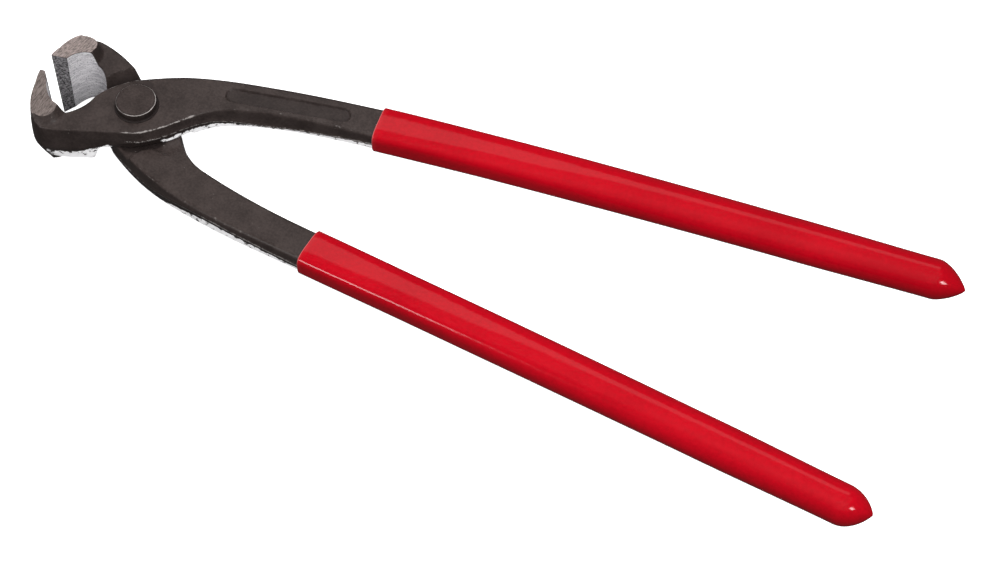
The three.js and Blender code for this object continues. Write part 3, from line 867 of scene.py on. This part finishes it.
def use_group(tree, group, **values):
    """Places a group in a material and feeds its inputs; gives the group's outputs."""
    node = tree.nodes.new("ShaderNodeGroup")
    node.node_tree = group
    for key, value in values.items():
        feed(tree, node.inputs[key], value)
    return node.outputs


def attribute(tree, name):
    """Value of one of the mesh's own attributes."""
    node = tree.nodes.new("ShaderNodeAttribute")
    node.attribute_name = name
    return node.outputs["Fac"]


def blend_colours(tree, share, first, second, strength=None):
    """Colour between two, each a socket or three numbers. The share may be weakened by a strength."""
    if strength is not None:
        share = combine(tree, "MULTIPLY", share, strength)
    node = tree.nodes.new("ShaderNodeMix")
    node.data_type = "RGBA"
    tree.links.new(share, node.inputs["Factor"])
    for key, value in (("A", first), ("B", second)):
        socket = [s for s in node.inputs if s.name == key and s.type == "RGBA"][0]
        feed(tree, socket, value if isinstance(value, bpy.types.NodeSocket) else (*value, 1))
    return [s for s in node.outputs if s.type == "RGBA"][0]


def coordinate(tree, axis):
    """One coordinate of the position, in metres."""
    node = tree.nodes.new("ShaderNodeSeparateXYZ")
    tree.links.new(here(tree), node.inputs[0])
    return node.outputs[axis]


def bump(tree, shader, height, strength, distance):
    """Fine relief in the shading."""
    node = tree.nodes.new("ShaderNodeBump")
    node.inputs["Strength"].default_value = strength
    node.inputs["Distance"].default_value = distance
    tree.links.new(height, node.inputs["Height"])
    tree.links.new(node.outputs["Normal"], shader.inputs["Normal"])


def oxide(tree, shader, blotch, rough_spread, rough_least):
    """Mottled brown black of oxidised steel with uneven gloss; gives its colour and its relief."""
    grain = use_group(tree, GRAIN, Fine=1500.0, Blotch=blotch)
    rough = combine(tree, "MULTIPLY", grain["Tone"], rough_spread)
    tree.links.new(combine(tree, "ADD", rough, rough_least), shader.inputs["Roughness"])
    return blend_colours(tree, grain["Tone"], BLACK_DARK, BLACK_LIGHT), grain["Height"]


def forged_finish():
    """Black oxidised forging: bare on worn edges and on the flash line, with painted shade in the seats and
    the recess and a painted highlight line along the back lever's seat arc.

    The trimmed wall is painted near white and glows a little: a painted reflection of the white studio that
    bare metal would mirror.
    """
    material, tree, shader = new_material(
        "forged_black", Specular_IOR_Level=0.33, Emission_Strength=TRIM_REFLECTION_GLOW)
    colour, height = oxide(tree, shader, 170.0, 0.12, 0.3)
    # Painted shade in the seats and the recess.
    colour = blend_colours(tree, attribute(tree, "painted_shade"), colour, PAINTED_SHADE_BLACK, 0.6)
    fleck = spread(tree, noise(tree, here(tree), 1300.0, 2.0, 0.5), 0.76, 0.82)
    colour = blend_colours(tree, fleck, colour, BARE_AND_HIGHLIGHT, 0.5)
    # Worn corners and flash line, and the painted highlight line on the seat arc.
    for mark, amount, scale, strength in FORGED_WEAR_AND_HIGHLIGHT:
        worn = use_group(tree, WEAR_AND_PAINTED_LIGHT, Mask=attribute(tree, mark), Amount=amount, Scale=scale)
        colour = blend_colours(tree, worn["Bare"], colour, BARE_AND_HIGHLIGHT, strength)
    # Painted reflection: the trimmed wall is painted near white and glows.
    trim_and_reflection = use_group(tree, WEAR_AND_PAINTED_LIGHT, Mask=attribute(tree, "trim_and_reflection"), Amount=0.53, Scale=600.0)["Bare"]
    tree.links.new(blend_colours(tree, trim_and_reflection, colour, TRIM_REFLECTION_WHITE), shader.inputs["Base Color"])
    tree.links.new(blend_colours(tree, trim_and_reflection, NO_GLOW, TRIM_REFLECTION_WHITE), shader.inputs["Emission Color"])
    bump(tree, shader, height, 0.25, 0.0002)
    return material


def ground_finish():
    """Ground sides of the jaws: brownish bare steel with slanting grinding lines; painted light makes the
    back jaw's side paler.
    """
    material, tree, shader = new_material(
        "ground_side", Specular_IOR_Level=0.4, Metallic=0.1, Roughness=0.5)
    lines = use_group(tree, LINES, Turn=math.radians(-81), Along=80.0, Across=3400.0)["Lines"]
    tone = spread(tree, lines, 0.3, 0.7)
    front = blend_colours(tree, tone, *FRONT_GROUND)
    back = blend_colours(tree, tone, *BACK_GROUND_PAINTED_PALER)
    # Painted light: the back jaw's side gets the paler copy of the ground steel.
    on_back = spread(tree, coordinate(tree, "Y"), -0.004, 0.006)
    tree.links.new(blend_colours(tree, on_back, front, back), shader.inputs["Base Color"])
    bump(tree, shader, lines, 0.3, 0.0003)
    return material


def mouth_finish():
    """Ground mouth: bright silver with fine lines round its hollow, darker towards the back by painted
    shade, and pitted.
    """
    material, tree, shader = new_material("ground_mouth", Specular_IOR_Level=0.4, Roughness=0.42)
    lines = use_group(tree, LINES, Turn=0.0, Along=220.0, Across=220.0, Rise=4200.0)["Lines"]
    tone = spread(tree, lines, 0.4, 0.6)
    bright = blend_colours(tree, tone, *MOUTH_BRIGHT)
    shaded_mouth = blend_colours(tree, tone, *MOUTH_SHADED)
    # Painted shade: darker towards the back of the mouth.
    inwards = spread(tree, coordinate(tree, "X"), -0.132, -0.125)
    colour = blend_colours(tree, inwards, bright, shaded_mouth)
    pits = spread(tree, noise(tree, here(tree), 2200.0, 2.0, 0.6), 0.44, 0.36)
    colour = blend_colours(tree, pits, colour, MOUTH_PITS, 0.6)
    tree.links.new(colour, shader.inputs["Base Color"])
    bump(tree, shader, lines, 0.25, 0.0002)
    return material


def bevel_finish():
    """Cutting bevel: coarse speckled steel."""
    material, tree, shader = new_material("cutting_bevel", Specular_IOR_Level=0.1, Roughness=0.5)
    speckle = noise(tree, here(tree), 1500.0, 4.0, 0.7)
    colour = blend_colours(tree, spread(tree, speckle, 0.35, 0.68), *BEVEL_SPECKLE)
    tree.links.new(colour, shader.inputs["Base Color"])
    bump(tree, shader, speckle, 0.5, 0.0004)
    return material


def rivet_finish():
    """Black oxidised rivet with painted shade on its side and a painted highlight line on its edge."""
    material, tree, shader = new_material("rivet_black", Specular_IOR_Level=0.25)
    colour, height = oxide(tree, shader, 200.0, 0.1, 0.34)
    # Painted shade on the head's side.
    colour = blend_colours(tree, attribute(tree, "side"), colour, PAINTED_SHADE_BLACK, 0.7)
    # Painted highlight: a bright line on the chamfer's edge, speckled.
    worn = use_group(tree, WEAR_AND_PAINTED_LIGHT, Mask=attribute(tree, "edge"), Amount=0.62, Scale=70.0)["Bare"]
    tree.links.new(blend_colours(tree, worn, colour, BARE_AND_HIGHLIGHT, 0.8), shader.inputs["Base Color"])
    bump(tree, shader, height, 0.15, 0.0002)
    return material


def red_finish():
    """Glossy dipped plastic: deep red with a faint unevenness and a painted pale highlight at the rim."""
    material, tree, shader = new_material("red_grip", Roughness=0.12, Specular_IOR_Level=0.5)
    place = here(tree)
    cloud = noise(tree, place, 35.0, 3.0, 0.5)
    peel = noise(tree, place, 900.0, 3.0, 0.55)
    mottle = weighted(tree, cloud, 0.5, peel, 0.5)
    colour = blend_colours(tree, spread(tree, mottle, 0.32, 0.68), *RED)
    colour = blend_colours(tree, attribute(tree, "rim"), colour, RIM_HIGHLIGHT_PINK)
    tree.links.new(colour, shader.inputs["Base Color"])
    bump(tree, shader, noise(tree, place, 450.0, 3.0, 0.5), 0.07, 0.0006)
    return material


# Same order as FORGED, GROUND, MOUTH, BEVEL
lever_finishes = [forged_finish(), ground_finish(), mouth_finish(), bevel_finish()]
red = red_finish()
front_lever = make_lever("front_lever_skin", FRONT, False, lever_finishes)
back_lever = make_lever("back_lever_skin", BACK, True, lever_finishes)
front_grip = make_grip("front_grip_skin", FRONT, False, red)
back_grip = make_grip("back_grip_skin", BACK, True, red)
rivet = make_rivet("rivet_skin", rivet_finish())

for piece, body, node, slot in (
    (front_lever, "front", "front_lever", "lever_steel"),
    (front_grip, "front", "front_grip", "grip_plastic"),
    (back_lever, "back", "back_lever", "lever_steel"),
    (back_grip, "back", "back_grip", "grip_plastic"),
    (rivet, "back", "pivot_rivet", "rivet_steel"),
):
    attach(piece, body)
    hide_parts(node)


def make_floor():
    """Large white floor just under the jaws, which lights and mirrors nothing."""
    far = FLOOR_HALF
    corners = [(x, y, FLOOR_LEVEL) for x, y in ((-far, -far), (far, -far), (far, far), (-far, far))]
    mesh = bpy.data.meshes.new("floor")
    mesh.from_pydata(corners, [], [(0, 1, 2, 3)])
    floor = bpy.data.objects.new("floor", mesh)
    bpy.context.scene.collection.objects.link(floor)
    finish = new_material(
        "pale_floor", Roughness=0.9, Base_Color=FLOOR_GREY,
        Emission_Color=WHITE, Emission_Strength=FLOOR_GLOW)
    mesh.materials.append(finish[0])
    floor.visible_diffuse = False
    floor.visible_glossy = False


def soft_light(name, place, aim, width, depth, power, mirrored):
    """Area light that points at a place, and shows in glossy surfaces or doesn't."""
    data = bpy.data.lights.new(name, "AREA")
    data.shape = "RECTANGLE"
    data.size = width
    data.size_y = depth
    data.energy = power
    lamp = bpy.data.objects.new(name, data)
    lamp.location = place
    lamp.visible_glossy = mirrored
    lamp.rotation_euler = (Vector(aim) - Vector(place)).to_track_quat("-Z", "Y").to_euler()
    bpy.context.scene.collection.objects.link(lamp)


def make_camera():
    """Camera at the photograph's place, worked out from the tool's outline."""
    data = bpy.data.cameras.new("camera")
    data.sensor_width = CAMERA_SENSOR
    data.lens = CAMERA_LENS
    data.clip_start = CAMERA_NEAR
    camera = bpy.data.objects.new("camera", data)
    back = CAMERA_RIGHT.cross(CAMERA_UP)
    rows = zip(CAMERA_RIGHT, CAMERA_UP, back, CAMERA_PLACE)
    camera.matrix_world = Matrix((*rows, (0, 0, 0, 1)))
    bpy.context.scene.collection.objects.link(camera)
    bpy.context.scene.camera = camera


def make_sky():
    """Weak even light from all round."""
    world = bpy.data.worlds.new("studio")
    world.use_nodes = True
    sky = world.node_tree.nodes["Background"]
    sky.inputs["Color"].default_value = WHITE
    sky.inputs["Strength"].default_value = SKY_STRENGTH
    bpy.context.scene.world = world


make_floor()
for light in LIGHTS:
    soft_light(*light)
make_sky()
bpy.context.scene.view_settings.view_transform = "Standard"
make_camera()
